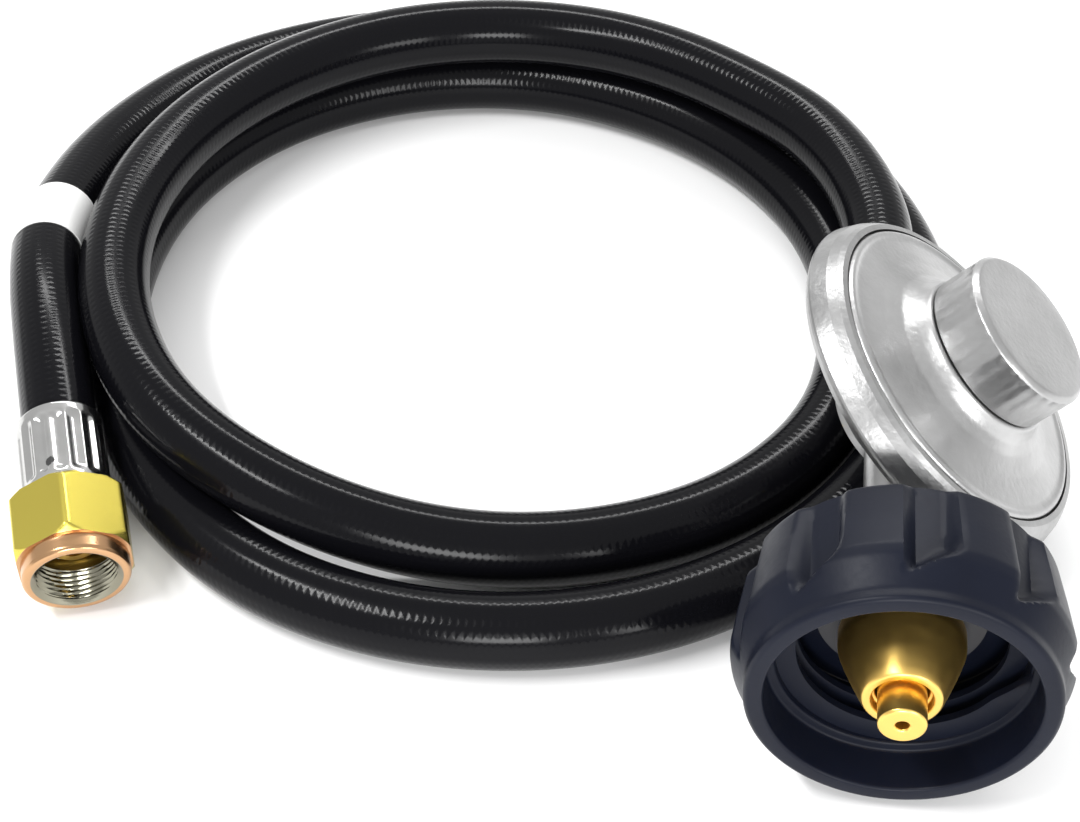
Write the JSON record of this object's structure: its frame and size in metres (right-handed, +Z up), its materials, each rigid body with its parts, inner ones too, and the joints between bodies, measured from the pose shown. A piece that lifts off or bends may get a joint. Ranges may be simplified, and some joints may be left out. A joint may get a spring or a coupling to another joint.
{
  "type": "propane regulator hose",
  "caption": "Low-pressure gas regulator with a round leaning disc, a fluted hand nut, and a coiled hose that ends in a swivel flare nut.",
  "frame": {"origin": "on the ground, under the middle of the regulator's own box, without the hose", "axes": "+Z up, +Y from the hand nut's mouth towards the hose outlet, the disc leans to +X, and the coil lies at -X"},
  "size_m": [0.2115, 0.2178, 0.0589],
  "materials": {
    "casting": "satin die-cast metal",
    "cover": "satin",
    "cap": "fine-ribbed satin",
    "brass": "polished",
    "yellow_zinc": "yellow passivated zinc plate",
    "navy_plastic": "matte",
    "heat_plastic": "matte",
    "hose_rubber": "glossy, with a faint diagonal ripple",
    "label_film": "plain white",
    "crimp_steel": "zinc plated",
    "spring_steel": "bare",
    "inner_rubber": "matte",
    "screen_mesh": "woven"
  },
  "bodies": {
    "regulator": {"lower_casting": "casting", "upper_cover": "cover", "vent_screen": "screen_mesh", "diaphragm": "inner_rubber", "main_spring": "spring_steel", "lever_pin": "spring_steel", "inlet_orifice": "brass", "inlet_nipple": "brass", "thermal_bushing": "heat_plastic", "snap_ring": "spring_steel", "seal_ring": "inner_rubber", "probe_spring": "spring_steel", "outlet_stem": "brass", "outlet_ferrule": "crimp_steel", "hose_regulator_lead": "hose_rubber", "hose_coil": "hose_rubber", "hose_flare_lead": "hose_rubber", "hose_label": "label_film", "flare_ferrule": "crimp_steel", "flare_stem": "brass"},
    "hand_nut_body": {"hand_nut": "navy_plastic"},
    "probe": {"nipple_probe": "brass"},
    "cap": {"tower_cap": "cap"},
    "screw": {"adjusting_screw": "cap"},
    "diaphragm_stack": {"diaphragm_plate": "spring_steel", "diaphragm_stem": "spring_steel", "stem_nut": "spring_steel", "relief_spring": "spring_steel"},
    "lever": {"valve_lever": "spring_steel"},
    "poppet": {"valve_poppet": "brass", "seat_disc": "inner_rubber"},
    "flare_swivel": {"flare_nut": "yellow_zinc"}
  },
  "joints": [
    {"name": "hand_nut_turn", "type": "hinge", "parent": "regulator", "child": "hand_nut_body", "pos_m": [-0.00198, -0.0375, 0.028], "axis": [0, 1, 0], "continuous": true},
    {"name": "flare_nut_turn", "type": "hinge", "parent": "regulator", "child": "flare_swivel", "pos_m": [-0.14947, -0.01485, 0.01304], "axis": [0.3231, -0.9336, -0.1549], "continuous": true},
    {"name": "probe_slide", "type": "slide", "parent": "regulator", "child": "probe", "axis": [0, 1, 0], "range_m": [0, 0.004], "stiffness_N_per_m": 400, "springref_m": -0.003, "deforming": ["probe_spring"]},
    {"name": "cap_turn", "type": "hinge", "parent": "regulator", "child": "cap", "pos_m": [0.01423, 0.0185, 0.04569], "axis": [0.6756, 0, 0.7373], "continuous": true},
    {"name": "screw_turn", "type": "hinge", "parent": "regulator", "child": "screw", "pos_m": [0.01491, 0.0185, 0.04643], "axis": [0.6756, 0, 0.7373], "continuous": true},
    {"name": "diaphragm_slide", "type": "slide", "parent": "regulator", "child": "diaphragm_stack", "axis": [0.6756, 0, 0.7373], "range_m": [0, 0.0018], "stiffness_N_per_m": 1500, "springref_m": -0.004, "deforming": ["main_spring", "diaphragm"]},
    {"name": "lever_tilt", "type": "hinge", "parent": "regulator", "child": "lever", "pos_m": [-0.00022, 0.027, 0.02992], "axis": [0.7373, 0, -0.6756], "range_deg": [-12.5, 0]},
    {"name": "poppet_slide", "type": "slide", "parent": "regulator", "child": "poppet", "axis": [0, -1, 0], "range_m": [0, 0.00065]}
  ],
  "couplings": [
    {"joint": "lever_tilt", "follows": "diaphragm_slide", "rad_per_m": -117.65},
    {"joint": "poppet_slide", "follows": "diaphragm_slide", "ratio": 0.3529}
  ]
}
